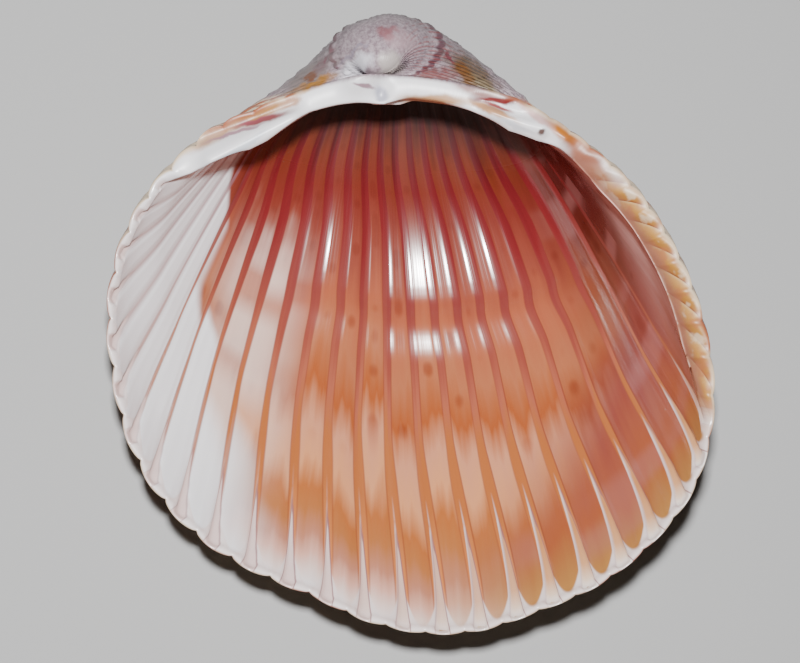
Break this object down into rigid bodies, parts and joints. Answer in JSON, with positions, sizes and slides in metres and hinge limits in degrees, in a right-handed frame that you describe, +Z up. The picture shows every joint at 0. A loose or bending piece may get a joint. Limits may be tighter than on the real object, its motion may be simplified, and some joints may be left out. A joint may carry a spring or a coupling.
{
  "type": "cockle shell",
  "caption": "Single valve of a large ribbed cockle, lying on its back with the glossy banded hollow, notched edge and toothed hinge plate facing up.",
  "frame": {"origin": "centre of the bounding box, on the surface that the valve lies on", "axes": "+Z up out of the hollow, +Y towards the hinge and beak, +X towards the hind end of the shell"},
  "size_m": [0.086, 0.0904, 0.0408],
  "materials": {
    "shell": "gloss"
  },
  "bodies": {
    "root": {"valve": "shell"}
  },
  "joints": []
}
